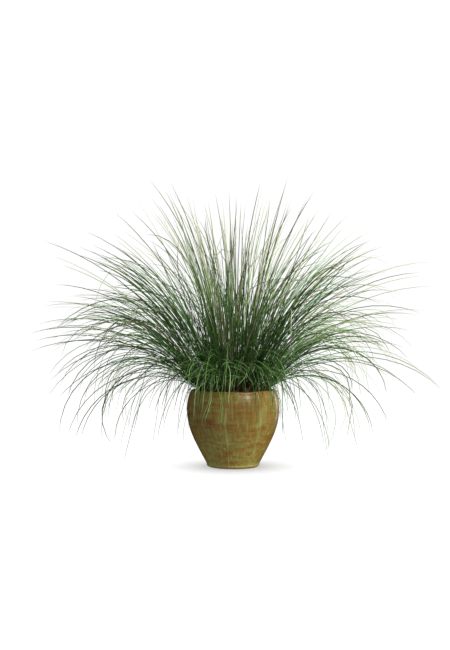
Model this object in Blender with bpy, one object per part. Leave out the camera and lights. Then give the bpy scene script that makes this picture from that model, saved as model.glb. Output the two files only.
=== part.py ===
"""Potted ornamental grass: a lobed glazed pot, soil, a root crown and tufts of arching blades.

Metres, +Z up. The origin is the centre of the pot's foot, on the surface it stands on, and
-Y is the front. Headings are angles about +Z from +X, and leans are angles from vertical.
"""

import math
import random
from collections import namedtuple

import bmesh
import bpy
from mathutils import Matrix, Vector
from mathutils.geometry import interpolate_bezier

MM = 0.001

# Pot: a planter 250 mm across its belly
FOOT_RADIUS = 66.5 * MM
FOOT_BAND_RADIUS = 72.5 * MM
FOOT_BAND_TOP = 10.5 * MM
FOOT_RING_WIDTH = 9.0 * MM
FOOT_RECESS = 3.0 * MM
BELLY_RADIUS = 125.5 * MM
BELLY_HEIGHT = 157.0 * MM
RIM_RADIUS = 115.0 * MM
POT_HEIGHT = 207.0 * MM
WALL = 11.0 * MM
FLOOR_TOP = 15.0 * MM
DRAIN_RADIUS = 12.0 * MM
RIM_ROUND = 2.0 * MM
LOWER_WALL_ROWS = 7
UPPER_WALL_ROWS = 3

# Lobes: soft upright panels that meet at narrow raised seams
LOBES = 8
COLUMNS_PER_LOBE = 7
FIRST_SEAM = math.radians(-100.0)
LOBE_DEPTH = 2.0 * MM
SEAM_HEIGHT = 1.4 * MM
SEAM_HALF_WIDTH = 3.2 * MM
LOBING_AT_RIM = 0.4
LOBING_AT_FOOT = 0.6

# Soil and the root crown that is set into it
GAP = 0.3 * MM
SOIL_SIDE_GAP = 0.7 * MM
SOIL_TOP = 199.0 * MM
SOIL_COLUMNS = 32
CROWN_SEAT = 193.0 * MM
CROWN_RADIUS = 93.0 * MM
CROWN_EDGE = 5.0 * MM
CROWN_RISE = 18.0 * MM
CROWN_ROWS = 4
CROWN_CURVE = (CROWN_RADIUS**2 + CROWN_RISE**2) / (2 * CROWN_RISE)
CROWN_TOP = CROWN_SEAT + GAP + CROWN_EDGE + CROWN_RISE

# Leaf tufts: rings of bundles, upright in the middle and arching over at the outside
Ring = namedtuple("Ring", "count radius turn lean end_lean stagger length bend segments")
RINGS = (
    Ring(3, 10.0 * MM, 20.0, 4.0, 15.0, 0.0, 605.0 * MM, 1.3, 3),
    Ring(8, 28.0 * MM, 8.0, 13.0, 38.0, 3.0, 605.0 * MM, 1.3, 4),
    Ring(12, 46.0 * MM, 0.0, 24.0, 62.0, 4.0, 605.0 * MM, 1.3, 5),
    Ring(16, 64.0 * MM, 5.0, 39.0, 92.0, 4.0, 600.0 * MM, 1.3, 6),
    Ring(18, 82.0 * MM, -78.0, 54.0, 128.0, 3.5, 550.0 * MM, 1.3, 7),
)
# One bundle in three of the outer ring hangs over the pot's side
HANGING_EVERY = 3
HANGING = Ring(6, 82.0 * MM, -58.0, 58.0, 174.0, 2.0, 460.0 * MM, 1.0, 7)
# Growth is a little shorter and stiffer towards the front and the back
SHORTER = 0.12
STIFFER = 24.0
BUNDLE_SIDES = 6
BUNDLE_RADIUS = 7.0 * MM
BUNDLE_TOP_RADIUS = 5.5 * MM
BUNDLE_LENGTH = 28.0 * MM
LEADER_HALF_WIDTH = 2.4 * MM
LEADER_TIP_HALF_WIDTH = 0.8 * MM
LEADER_DEPTH = 0.7
FAN = 6.5
SUBSTEPS = 6

Tuft = namedtuple("Tuft", "name heading radius lean end_lean length bend segments seed")


def principled(name, colour, roughness, metallic=0.0):
    """A plain Principled material in the piece's own colour."""
    material = bpy.data.materials.new(name)
    material.use_nodes = True
    shader = material.node_tree.nodes["Principled BSDF"]
    shader.inputs["Base Color"].default_value = (*colour, 1.0)
    shader.inputs["Roughness"].default_value = roughness
    shader.inputs["Metallic"].default_value = metallic
    return material


def add_object(name, bm, material, sharp_angle):
    """Turns a finished bmesh into a named, smooth-shaded object."""
    bmesh.ops.recalc_face_normals(bm, faces=bm.faces)
    mesh = bpy.data.meshes.new(name)
    bm.to_mesh(mesh)
    bm.free()
    mesh.materials.append(material)
    mesh.shade_smooth()
    mesh.set_sharp_from_angle(angle=math.radians(sharp_angle))
    part = bpy.data.objects.new(name, mesh)
    bpy.context.collection.objects.link(part)
    return part


def curve(start, start_handle, end_handle, end, rows):
    """Points of a smooth stretch of outline, as (radius, height) pairs."""
    knots = [Vector(point) for point in (start, start_handle, end_handle, end)]
    return [tuple(point) for point in interpolate_bezier(*knots, rows + 1)]


def outer_wall():
    """The pot's outside from the top of its foot band to just under the rim."""
    lower = curve(
        (FOOT_BAND_RADIUS, FOOT_BAND_TOP),
        (FOOT_BAND_RADIUS + 34.5 * MM, FOOT_BAND_TOP + 62.0 * MM),
        (BELLY_RADIUS, BELLY_HEIGHT - 51.0 * MM),
        (BELLY_RADIUS, BELLY_HEIGHT),
        LOWER_WALL_ROWS,
    )
    upper = curve(
        (BELLY_RADIUS, BELLY_HEIGHT),
        (BELLY_RADIUS, BELLY_HEIGHT + 19.0 * MM),
        (RIM_RADIUS + 4.5 * MM, POT_HEIGHT - 10.5 * MM),
        (RIM_RADIUS, POT_HEIGHT - RIM_ROUND),
        UPPER_WALL_ROWS,
    )
    return lower + upper[1:]


def inner_wall(gap=0.0):
    """The pot's inside from its floor to just under the rim, drawn in by a gap."""
    inset = WALL + gap
    floor = FLOOR_TOP + gap
    wall = [(radius - inset, height) for radius, height in outer_wall()[1::2]]
    return [(wall[0][0] - 8.0 * MM, floor)] + wall


def spin_outline(outline, columns, closed, lobing=()):
    """Spins an outline of (radius, height) points about +Z and gives the bmesh."""
    bm = bmesh.new()
    layer = bm.verts.layers.float.new("lobing")
    verts = [bm.verts.new((radius, 0.0, height)) for radius, height in outline]
    for vert, strength in zip(verts, lobing):
        vert[layer] = strength
    pairs = list(zip(verts, verts[1:]))
    if closed:
        pairs.append((verts[-1], verts[0]))
    edges = [bm.edges.new(pair) for pair in pairs]
    bmesh.ops.spin(
        bm,
        geom=verts + edges,
        cent=(0, 0, 0),
        axis=(0, 0, 1),
        angle=math.tau,
        steps=columns,
        use_merge=True,
    )
    bmesh.ops.remove_doubles(bm, verts=bm.verts, dist=0.01 * MM)
    return bm


def lobe_column(column):
    """The heading of a column of the pot, and how far its surface stands out there."""
    lobe, place = divmod(column, COLUMNS_PER_LOBE)
    lobe_angle = math.tau / LOBES
    seam_angle = SEAM_HALF_WIDTH / BELLY_RADIUS
    heading = FIRST_SEAM + lobe * lobe_angle
    if place == 0:
        return heading, SEAM_HEIGHT - LOBE_DEPTH
    across = (place - 1) / (COLUMNS_PER_LOBE - 2)
    heading += seam_angle + (lobe_angle - 2 * seam_angle) * across
    return heading, -LOBE_DEPTH * (1 - math.sin(math.pi * across))


def make_pot(material):
    """A closed, turned wall with a foot ring and a drain hole, pressed into lobes."""
    outside = outer_wall()
    foot_inner = FOOT_RADIUS - FOOT_RING_WIDTH
    under = [
        (DRAIN_RADIUS, FLOOR_TOP),
        (DRAIN_RADIUS, FOOT_RECESS),
        (foot_inner - FOOT_RECESS, FOOT_RECESS),
        (foot_inner, 0.0),
        (FOOT_RADIUS, 0.0),
    ]
    rim = [
        (RIM_RADIUS - RIM_ROUND, POT_HEIGHT),
        (RIM_RADIUS - WALL + RIM_ROUND, POT_HEIGHT),
    ]
    inside = list(reversed(inner_wall()))
    wall_height = POT_HEIGHT - FOOT_BAND_TOP
    lobing = [0.0] * (len(under) - 1) + [LOBING_AT_FOOT]
    for _radius, height in outside:
        rise = (height - FOOT_BAND_TOP) / wall_height
        fade_foot = LOBING_AT_FOOT + (1 - LOBING_AT_FOOT) * min(1.0, rise / 0.3)
        fade_rim = LOBING_AT_RIM + (1 - LOBING_AT_RIM) * min(1.0, (1 - rise) / 0.15)
        lobing.append(min(fade_foot, fade_rim))
    columns = LOBES * COLUMNS_PER_LOBE
    bm = spin_outline(under + outside + rim + inside, columns, closed=True, lobing=lobing)
    layer = bm.verts.layers.float["lobing"]
    for vert in bm.verts:
        column = round(math.atan2(vert.co.y, vert.co.x) / math.tau * columns) % columns
        heading, relief = lobe_column(column)
        radius = vert.co.xy.length + relief * vert[layer]
        vert.co.x = radius * math.cos(heading)
        vert.co.y = radius * math.sin(heading)
    return add_object("pot", bm, material, sharp_angle=40)


def make_soil(material):
    """The potting mix: it fills the pot to just under the rim, around the crown's seat."""
    sides = [point for point in inner_wall(SOIL_SIDE_GAP) if point[1] < SOIL_TOP]
    seat_radius = CROWN_RADIUS + SOIL_SIDE_GAP
    outline = [(0.0, FLOOR_TOP + GAP)] + sides
    outline += [
        (RIM_RADIUS - WALL, SOIL_TOP),
        (seat_radius, SOIL_TOP),
        (seat_radius, CROWN_SEAT),
        (0.0, CROWN_SEAT),
    ]
    bm = spin_outline(outline, SOIL_COLUMNS, closed=False)
    return add_object("soil", bm, material, sharp_angle=40)


def make_crown(material):
    """The low dome of packed stem bases that all the tufts grow from."""
    bottom = CROWN_SEAT + GAP
    outline = [(0.0, bottom), (CROWN_RADIUS, bottom)]
    for row in range(CROWN_ROWS + 1):
        radius = CROWN_RADIUS * (1 - row / CROWN_ROWS)
        outline.append((radius, crown_height(radius)))
    bm = spin_outline(outline, SOIL_COLUMNS, closed=False)
    return add_object("crown", bm, material, sharp_angle=40)


def crown_height(radius):
    """Height of the crown's dome at a distance from the pot's axis."""
    return CROWN_TOP - CROWN_CURVE + math.sqrt(CROWN_CURVE**2 - radius**2)


def blade_frame(point, heading, lean):
    """A frame whose x points under a blade, y across it and z along it."""
    across = Vector((-math.sin(heading), math.cos(heading), 0.0))
    outward = Vector((math.cos(heading), math.sin(heading), 0.0))
    along = outward * math.sin(lean) + Vector((0.0, 0.0, math.cos(lean)))
    under = across.cross(along)
    frame = Matrix((under, across, along)).transposed().to_4x4()
    frame.translation = point
    return frame


def blade_line(root, heading, lean, end_lean, length, swing, bend, segments):
    """Frames down a blade that leans over more and more towards its tip."""
    steps = segments * SUBSTEPS
    point = root.copy()
    frames = [blade_frame(point, heading, lean)]
    for step in range(steps):
        middle = (step + 0.5) / steps
        leaning = lean + (end_lean - lean) * middle**bend
        direction = blade_frame(point, heading + swing * middle, leaning).col[2].xyz
        point = point + direction * (length / steps)
        if (step + 1) % SUBSTEPS == 0:
            reached = (step + 1) / steps
            leaning = lean + (end_lean - lean) * reached**bend
            frames.append(blade_frame(point, heading + swing * reached, leaning))
    return frames


def tuft_plan():
    """Every tuft's place, lean, length and seed, ring by ring from the middle."""
    tufts = []
    for ring in RINGS:
        for place in range(ring.count):
            seed = len(tufts) + 1
            chance = random.Random(seed)
            heading = ring.turn + 360.0 * place / ring.count + chance.uniform(-3.5, 3.5)
            facing = abs(math.sin(math.radians(heading))) ** 3
            hangs = ring is RINGS[-1] and place % HANGING_EVERY == 1
            habit = HANGING if hangs else ring
            stiffness = 0.0 if hangs else STIFFER * facing * ring.radius / RINGS[-1].radius
            stagger = habit.stagger * (1 if place % 2 else -1)
            end_lean = habit.end_lean - stiffness + 2.5 * stagger + chance.uniform(-8.0, 8.0)
            tufts.append(
                Tuft(
                    name=f"leaf_tuft_{seed:02d}",
                    heading=math.radians(heading),
                    radius=habit.radius,
                    lean=math.radians(habit.lean + stagger + chance.uniform(-1.5, 1.5)),
                    end_lean=math.radians(min(end_lean, HANGING.end_lean)),
                    length=habit.length * (1 - SHORTER * facing) * chance.uniform(0.9, 1.04),
                    bend=habit.bend,
                    segments=habit.segments,
                    seed=seed,
                )
            )
    return tufts


def place_section(face, old, new, half_width):
    """Moves a three-cornered section to a new frame: two edges and a keel under them."""
    to_old = old.inverted()
    left, keel, right = sorted(face.verts, key=lambda vert: (to_old @ vert.co).y)
    depth = half_width * LEADER_DEPTH
    left.co = new @ Vector((-depth, -half_width, 0.0))
    right.co = new @ Vector((-depth, half_width, 0.0))
    keel.co = new @ Vector((depth, 0.0, 0.0))


def grow_leader(bm, face, bundle_frame, tuft, fan, chance):
    """Draws one long blade out of a facet on the bundle's top."""
    heading = tuft.heading + math.radians(fan * FAN + chance.uniform(-2.0, 2.0))
    lift = math.radians(3.0 if fan == 0 else 0.0)
    lean = tuft.lean - lift
    end_lean = tuft.end_lean - lift + math.radians(chance.uniform(-7.0, 5.0))
    length = (tuft.length - BUNDLE_LENGTH) * (1.0 if fan == 0 else chance.uniform(0.86, 0.98))
    swing = math.radians(chance.uniform(-4.0, 4.0))
    root = face.calc_center_median()
    frames = blade_line(root, heading, lean, end_lean, length, swing, tuft.bend, tuft.segments)
    previous = bundle_frame
    for index, frame in enumerate(frames[1:], start=1):
        face = bmesh.ops.extrude_discrete_faces(bm, faces=[face])["faces"][0]
        taper = index / tuft.segments
        half_width = LEADER_HALF_WIDTH + (LEADER_TIP_HALF_WIDTH - LEADER_HALF_WIDTH) * taper
        if index == tuft.segments:
            bmesh.ops.pointmerge(bm, verts=face.verts, merge_co=frame.translation)
        else:
            place_section(face, previous, frame, half_width)
        previous = frame


def make_tuft(tuft, material):
    """A bundle of packed blade bases that ends in three long leading blades."""
    chance = random.Random(tuft.seed * 7)
    outward = Vector((math.cos(tuft.heading), math.sin(tuft.heading), 0.0))
    slope = math.asin(tuft.radius / CROWN_CURVE)
    normal = outward * math.sin(slope) + Vector((0.0, 0.0, math.cos(slope)))
    root = outward * tuft.radius + Vector((0.0, 0.0, crown_height(tuft.radius))) + normal * GAP
    base_frame = blade_frame(root, tuft.heading, slope)
    top_point = blade_frame(root, tuft.heading, tuft.lean) @ Vector((0.0, 0.0, BUNDLE_LENGTH))
    top_frame = blade_frame(top_point, tuft.heading, tuft.lean)
    bm = bmesh.new()
    bmesh.ops.create_circle(
        bm,
        cap_ends=True,
        segments=BUNDLE_SIDES,
        radius=BUNDLE_RADIUS,
        matrix=base_frame,
    )
    base = bm.faces[:]
    top = bmesh.ops.extrude_face_region(bm, geom=base)["geom"]
    top_verts = [item for item in top if isinstance(item, bmesh.types.BMVert)]
    top_face = [item for item in top if isinstance(item, bmesh.types.BMFace)]
    narrow = Matrix.Scale(BUNDLE_TOP_RADIUS / BUNDLE_RADIUS, 4)
    bmesh.ops.transform(bm, matrix=top_frame @ narrow @ base_frame.inverted(), verts=top_verts)
    facets = bmesh.ops.poke(bm, faces=top_face)["faces"]
    to_top = top_frame.inverted()
    facets.sort(key=lambda face: (to_top @ face.calc_center_median()).x)
    inner, outer_pair = facets[0], facets[3:5]
    outer_pair.sort(key=lambda face: (to_top @ face.calc_center_median()).y)
    for face, fan in zip((outer_pair[0], inner, outer_pair[1]), (-1, 0, 1)):
        grow_leader(bm, face, top_frame, tuft, fan, chance)
    return add_object(tuft.name, bm, material, sharp_angle=60)


def main():
    """Clears the scene and builds every piece of the potted grass."""
    for old in list(bpy.data.objects):
        bpy.data.objects.remove(old)
    make_pot(principled("glazed ceramic", (0.16, 0.11, 0.035), 0.2))
    make_soil(principled("potting soil", (0.03, 0.02, 0.013), 0.95))
    make_crown(principled("packed stem bases", (0.16, 0.15, 0.07), 0.85))
    blade = principled("grass blade", (0.13, 0.2, 0.09), 0.5)
    for tuft in tuft_plan():
        make_tuft(tuft, blade)


main()
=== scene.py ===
"""Looks of a potted ornamental grass: a lobed glazed pot, its soil, and many fine blades.

Metres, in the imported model's frame: +Z up, -Y the front, the pot's foot centred on the origin.
Headings are angles about +Z from +X, and leans are angles from vertical.
"""

import math
import random
from collections import namedtuple

import bmesh
import bpy
import numpy as np
from mathutils import Euler, Matrix, Vector, noise
from mathutils.geometry import interpolate_bezier


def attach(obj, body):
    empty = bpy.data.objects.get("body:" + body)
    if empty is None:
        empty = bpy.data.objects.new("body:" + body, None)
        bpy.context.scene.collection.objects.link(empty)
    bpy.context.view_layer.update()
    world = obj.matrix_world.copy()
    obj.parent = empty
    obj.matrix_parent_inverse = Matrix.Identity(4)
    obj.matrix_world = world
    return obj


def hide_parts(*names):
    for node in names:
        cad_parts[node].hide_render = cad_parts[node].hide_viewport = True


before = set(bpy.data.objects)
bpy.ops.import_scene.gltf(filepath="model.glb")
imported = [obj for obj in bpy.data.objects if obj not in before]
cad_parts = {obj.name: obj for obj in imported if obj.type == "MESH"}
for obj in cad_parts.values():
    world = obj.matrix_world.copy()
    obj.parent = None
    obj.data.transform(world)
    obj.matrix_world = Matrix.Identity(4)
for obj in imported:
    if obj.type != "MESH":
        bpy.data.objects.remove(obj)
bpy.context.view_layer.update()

MM = 0.001

# Pot: the same driving sizes as the solid that it dresses
FOOT_RADIUS = 66.5 * MM
FOOT_BAND_RADIUS = 72.5 * MM
FOOT_BAND_TOP = 10.5 * MM
FOOT_RING_WIDTH = 9.0 * MM
FOOT_RECESS = 3.0 * MM
BELLY_RADIUS = 125.5 * MM
BELLY_HEIGHT = 157.0 * MM
RIM_RADIUS = 115.0 * MM
POT_HEIGHT = 207.0 * MM
WALL = 11.0 * MM
FLOOR_TOP = 15.0 * MM
DRAIN_RADIUS = 12.0 * MM
LIP_DEPTH = 5.5 * MM

# Lobes: soft upright panels that meet at narrow raised seams
LOBES = 8
FIRST_SEAM = math.radians(-100.0)
LOBE_DEPTH = 2.0 * MM
LOBING_AT_RIM = 0.4
LOBING_AT_FOOT = 0.6
SEAM_HEIGHT = 1.1 * MM
SEAM_HALF_WIDTH = 4.2 * MM
SEAM_ZONE = 6.0 * MM
SEAM_COLUMNS = 6
PANEL_COLUMNS = 12
COLUMNS_PER_LOBE = 2 * SEAM_COLUMNS + PANEL_COLUMNS
# A seam strays sideways in two waves: how far, how long, and how much later on the next seam
SEAM_WAVES = ((0.9 * MM, 95 * MM, 0.37), (0.35 * MM, 41 * MM, 0.61))
GROOVE_DEPTH = 0.45 * MM
GROOVE_BESIDE = 3.6 * MM
GROOVE_WIDTH = 1.3 * MM
THROWING_DEPTH = 0.12 * MM
THROWING_PITCH = 7.5 * MM

# Soil and crown
GAP = 0.3 * MM
SOIL_SIDE_GAP = 0.7 * MM
SOIL_TOP = 199.0 * MM
CROWN_SEAT = 193.0 * MM
CROWN_RADIUS = 93.0 * MM
CROWN_EDGE = 5.0 * MM
CROWN_RISE = 18.0 * MM
CROWN_CURVE = (CROWN_RADIUS**2 + CROWN_RISE**2) / (2 * CROWN_RISE)
CROWN_TOP = CROWN_SEAT + GAP + CROWN_EDGE + CROWN_RISE
CRUMBS = 420
STUBS = 420

# Leaf tufts: the solids' own rings, so that every leading blade lies on its solid
Ring = namedtuple("Ring", "count radius turn lean end_lean stagger length bend")
RINGS = (
    Ring(3, 10.0 * MM, 20.0, 4.0, 15.0, 0.0, 605.0 * MM, 1.3),
    Ring(8, 28.0 * MM, 8.0, 13.0, 38.0, 3.0, 605.0 * MM, 1.3),
    Ring(12, 46.0 * MM, 0.0, 24.0, 62.0, 4.0, 605.0 * MM, 1.3),
    Ring(16, 64.0 * MM, 5.0, 39.0, 92.0, 4.0, 600.0 * MM, 1.3),
    Ring(18, 82.0 * MM, -78.0, 54.0, 128.0, 3.5, 550.0 * MM, 1.3),
)
# Every third tuft of the outer ring hangs. Tufts that lean forwards or back are shorter by a
# share, and all but hanging ones end stiffer by some degrees. Leading blades fan out
HANGING_EVERY = 3
HANGING = Ring(6, 82.0 * MM, -58.0, 58.0, 174.0, 2.0, 460.0 * MM, 1.0)
SHORTER = 0.12
STIFFER = 24.0
BUNDLE_RADIUS = 7.0 * MM
BUNDLE_TOP_RADIUS = 5.5 * MM
BUNDLE_LENGTH = 28.0 * MM
FAN = 6.5
Tuft = namedtuple("Tuft", "number ring heading radius lean end_lean length bend")

# Fine blades. Of each kind: how many a tuft of each ring has, their reach as a share of a leading
# blade's, how far they stray from it (in degrees) sideways and in lean, what share of the lean may
# be downwards, how much more they droop at the end and how unevenly, how wide they are, and how
# ripe their tips are
Kind = namedtuple("Kind", "counts reach fan tilt sag droop curl width ripe")
LONG = Kind((6, 6, 7, 10, 7), (0.72, 1.04), 16.0, 9.0, 0.6, 5.0, 16.0, 2.1 * MM, 1.0)
ARCHING = Kind((0, 0, 0, 4, 16), (0.78, 1.06), 15.0, 8.0, 0.4, 48.0, 16.0, 2.1 * MM, 0.9)
LOOSE = Kind((4, 4, 4, 5, 2), (0.42, 0.9), 22.0, 13.0, 0.3, 5.0, 22.0, 1.8 * MM, 0.85)
SHORT = Kind((6, 6, 9, 13, 8), (0.14, 0.42), 36.0, 16.0, 0.0, 5.0, 14.0, 1.6 * MM, 0.45)
PALE = Kind((0, 0, 2, 3, 2), (0.6, 0.9), 8.0, 5.0, 0.2, 5.0, 8.0, 3.2 * MM, 1.0)
# How full a tuft is, at least and at most, and how much fuller on the left, ring by ring
FULLNESS = (0.7, 1.3)
FULLER_LEFT = (0.0, 0.0, 0.5, 0.0, 0.05)
# A hanging tuft keeps a share of all but its arching blades, and one that leans aside a share of
# its short ones, ring by ring. One that leans forwards or back lacks a share of its longer ones
KEPT_HANGING = 0.35
KEPT_BESIDE = (1.0, 1.0, 1.0, 0.12, 0.12)
LACKED_FACING = 0.35
# The inner rings stand upright, and their blades reach nearer to the leading blades' tips
INNER_RINGS = 2
LONGER_INSIDE = 0.6
# One thin stretch, seen from the front: how far it leans aside, how wide it is, how much is
# missing, and the share of a blade's bend that counts as lean there
THIN_ASIDE = -25.0
THIN_WIDTH = 8.5
THIN_SHARE = 0.85
THIN_BEND = 0.35
# The youngest blades lean forwards, where the sine of a heading is low: how much finer they are,
# and what share of the others' tone and ripeness they have. Pale blades grow further round
FRONT_BELOW = -0.4
FINER_IN_FRONT = 0.4
YOUNG = 0.4
PALE_ABOVE = -0.3
# How many degrees steeper than its leaders a blade starts, ring by ring: everywhere, on the left
# and on the right. How much wider its lean strays on the left. How much steeper short ones start
RISE = (0.0, 0.0, 2.0, 6.0, 16.0)
STEEPER_LEFT = (0.0, 0.0, -4.0, 15.0, -4.0)
STEEPER_RIGHT = (0.0, 0.0, 0.0, 3.0, 4.0)
WIDER_LEFT = (0.0, 0.0, 0.0, 1.3, 0.0)
SHORT_STEEPER = 6.0
# The share of kinked blades, by how many degrees, where along them, and over how much of them
KINKED = 0.2
KINK = (10.0, 55.0)
KINK_AT = (0.45, 0.85)
KINK_LENGTH = 0.08
# The share of withered blades, ring by ring
WITHERED = (0.32, 0.27, 0.18, 0.1, 0.06)
# Tones run from 0, dark, to 1, light: the share of light blades, how much larger it is in the
# lightest tuft, and the tones and the width, as a share of their kind's, of either sort
LIGHT_SHARE = 0.42
LIGHT_TUFT = 0.36
LIGHT_TONES = (0.65, 1.0)
DARK_TONES = (0.0, 0.3)
LIGHT_WIDTH = 0.9
DARK_WIDTH = 1.3
LEADING_WIDTH = 2.5 * MM
# Young blades that droop: curls, ring by ring, with a share of them beside the pot, and a fringe,
# ring by ring, that hangs in locks, with a share of it between them
DROOPING_WIDTH = 1.5 * MM
CURLS = (0, 4, 9, 13, 9)
CURLS_BESIDE = 0.1
FRINGE = (0, 0, 6, 12, 16)
FRINGE_BETWEEN = 0.12
LOCKS = (-124.0, -58.0, 14.0, 66.0, 118.0, 172.0)
LOCK_WIDTH = 13.0
# Long strands that bend over beside the pot and hang down towards the floor
TRAILS = 4
TRAIL_HEADINGS = (-146.0, -36.0)
TRAIL_WIDTH = 14.0
# The habit of each: ranges of lean and end lean, of the share of it that bends (all, where there
# is none) and of length in mm, and how far heading and swing stray
Droop = namedtuple("Droop", "lean end_lean settle length spread stray")
CURL = Droop((0.0, 50.0), (120.0, 178.0), (), (90.0, 220.0), 14.0, 40.0)
STRAND = Droop((0.0, 42.0), (150.0, 179.0), (0.5, 0.95), (130.0, 420.0, 220.0), 8.0, 14.0)
TRAIL = Droop((34.0, 54.0), (158.0, 172.0), (0.5, 0.8), (280.0, 440.0), 8.0, 16.0)
# A blade's mesh: rings along it and steps between them, its depth as a share of its half width, how
# much deeper its keel is, its width at the root, where it is widest, how late it narrows to its
# tip, and the share of its colours that lies in the tuft
BLADE_RINGS = 12
SUBSTEPS = 4
SECTION_DEPTH = 0.5
KEEL = 1.8
ROOT_WIDTH = 0.45
WIDEST_AT = 0.45
TIP_POWER = 12
ROOT_SHARE = 0.04
MAP_COLUMNS = 4
# Unless it is said, a blade bends all along it and has no kink, sway, withering or bloom
Blade = namedtuple(
    "Blade",
    "under across rise heading lean end_lean length swing bend width roll twist tone ripe "
    "settle kink kink_at sway age bloom",
    defaults=(1.0, 0.0, 1.0, 0.0, 0.0, 0.0),
)

# Studio
CAMERA_PLACE = (-0.022, -2.8, 0.381)
CAMERA_LENS = 57.4
ROOM_STRENGTH = 1.02
TABLE_GLOW = 0.5
TABLE_LIGHT = 8.2


def linear(hex_colour):
    """An sRGB hex colour as linear red, green, blue and alpha."""
    shares = [int(hex_colour[place : place + 2], 16) / 255 for place in (1, 3, 5)]
    bright = [s / 12.92 if s <= 0.04045 else ((s + 0.055) / 1.055) ** 2.4 for s in shares]
    return (*bright, 1.0)


def add(tree, kind, inputs=None, stops=None, **settings):
    """Adds a shader node with its settings, a ramp's stops (both ends first), values and links."""
    node = tree.nodes.new("ShaderNode" + kind)
    for name, value in settings.items():
        setattr(node, name, value)
    for place, (position, colour) in enumerate(stops or ()):
        points = node.color_ramp.elements
        point = points[place] if place < 2 else points.new(position)
        point.position = position
        point.color = linear(colour)
    for socket, value in (inputs or {}).items():
        if isinstance(value, bpy.types.NodeSocket):
            tree.links.new(value, node.inputs[socket])
        else:
            node.inputs[socket].default_value = value
    return node


def ramp(tree, value, stops):
    """The colour that a value has on a ramp."""
    return add(tree, "ValToRGB", {"Fac": value}, stops).outputs["Color"]


def laid(tree, share, below, above):
    """A share of one colour laid over another."""
    layers = {"Factor": share, 6: below, 7: above}
    return add(tree, "Mix", layers, data_type="RGBA").outputs[2]


def grains(tree, place, scale, detail, roughness=0.5):
    """Noise in grains about 1 / scale metres wide."""
    inputs = {"Vector": place, "Scale": scale, "Detail": detail, "Roughness": roughness}
    return add(tree, "TexNoise", inputs).outputs["Fac"]


def mapped(tree, value, low, high, to_low=0.0, to_high=1.0, **settings):
    """A value carried over from one range to another."""
    ranges = {"From Min": low, "From Max": high, "To Min": to_low, "To Max": to_high}
    return add(tree, "MapRange", {"Value": value} | ranges, **settings).outputs["Result"]


def painted(tree, title):
    """A value that each point of the mesh has."""
    return add(tree, "Attribute", attribute_name=title).outputs["Fac"]


def squeezed(tree, place, times):
    """Places with their height multiplied, so that grains there lie flat, or below 1 stand tall."""
    return add(tree, "Mapping", {"Vector": place, "Scale": (1.0, 1.0, times)}).outputs[0]


def start_material(name, **constants):
    """A Principled material, with what is the same all over it set on the shader itself."""
    material = bpy.data.materials.new(name)
    material.use_nodes = True
    for socket, value in constants.items():
        shader_input(material.node_tree, socket.replace("_", " ")).default_value = value
    return material, material.node_tree


def shader_input(tree, socket):
    """A socket of a material's shader."""
    return tree.nodes["Principled BSDF"].inputs[socket]


def dress(tree, colour, relief, strength, depth):
    """Gives a material its colour, and a relief that stands up by a depth."""
    tree.links.new(colour, shader_input(tree, "Base Color"))
    bump = add(tree, "Bump", {"Height": relief, "Strength": strength, "Distance": depth})
    tree.links.new(bump.outputs[0], shader_input(tree, "Normal"))


def grainy_material(name, roughness, scale, detail, colours, strength, depth):
    """A matt material of fine grains in two colours."""
    material, tree = start_material(name, Roughness=roughness)
    grain = grains(tree, add(tree, "TexCoord").outputs["Object"], scale, detail)
    dress(tree, ramp(tree, grain, colours), grain, strength, depth)
    return material


def place_object(name, data):
    """An object of a mesh, light or camera, linked into the scene."""
    piece = bpy.data.objects.new(name, data)
    bpy.context.collection.objects.link(piece)
    return piece


def finish_piece(name, mesh, materials, replaced=()):
    """Makes an object of a finished mesh and ties it to the frame."""
    for material in materials:
        mesh.materials.append(material)
    piece = place_object(name, mesh)
    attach(piece, "root")
    if replaced:
        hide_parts(*replaced)


def mesh_of(name, bm):
    """Turns a closed bmesh into a smooth mesh whose faces point outwards."""
    bmesh.ops.recalc_face_normals(bm, faces=bm.faces)
    mesh = bpy.data.meshes.new(name)
    bm.to_mesh(mesh)
    bm.free()
    mesh.shade_smooth()
    return mesh


# Pot


def curve(start, start_handle, end_handle, end, rows):
    """Points of a smooth stretch of outline, as (radius, height) pairs."""
    knots = [Vector(point) for point in (start, start_handle, end_handle, end)]
    return [tuple(point) for point in interpolate_bezier(*knots, rows + 1)]


def outer_wall(lower_rows, upper_rows):
    """The pot's outside from the top of its foot band to just under the rim."""
    lower = curve(
        (FOOT_BAND_RADIUS, FOOT_BAND_TOP),
        (FOOT_BAND_RADIUS + 34.5 * MM, FOOT_BAND_TOP + 62.0 * MM),
        (BELLY_RADIUS, BELLY_HEIGHT - 51.0 * MM),
        (BELLY_RADIUS, BELLY_HEIGHT),
        lower_rows,
    )
    upper = curve(
        (BELLY_RADIUS, BELLY_HEIGHT),
        (BELLY_RADIUS, BELLY_HEIGHT + 19.0 * MM),
        (RIM_RADIUS + 4.5 * MM, POT_HEIGHT - 10.5 * MM),
        (RIM_RADIUS + 0.4 * MM, POT_HEIGHT - LIP_DEPTH),
        upper_rows,
    )
    return lower + upper[1:]


OUTSIDE = outer_wall(44, 18)
PLAIN_OUTSIDE = outer_wall(8, 4)
WALL_RADII, WALL_HEIGHTS = zip((FOOT_RADIUS, 0.0), *OUTSIDE, (RIM_RADIUS, POT_HEIGHT))


def wall_radius(height):
    """The pot's outer radius at a height, before it is pressed into lobes."""
    return float(np.interp(height, WALL_HEIGHTS, WALL_RADII))


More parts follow.
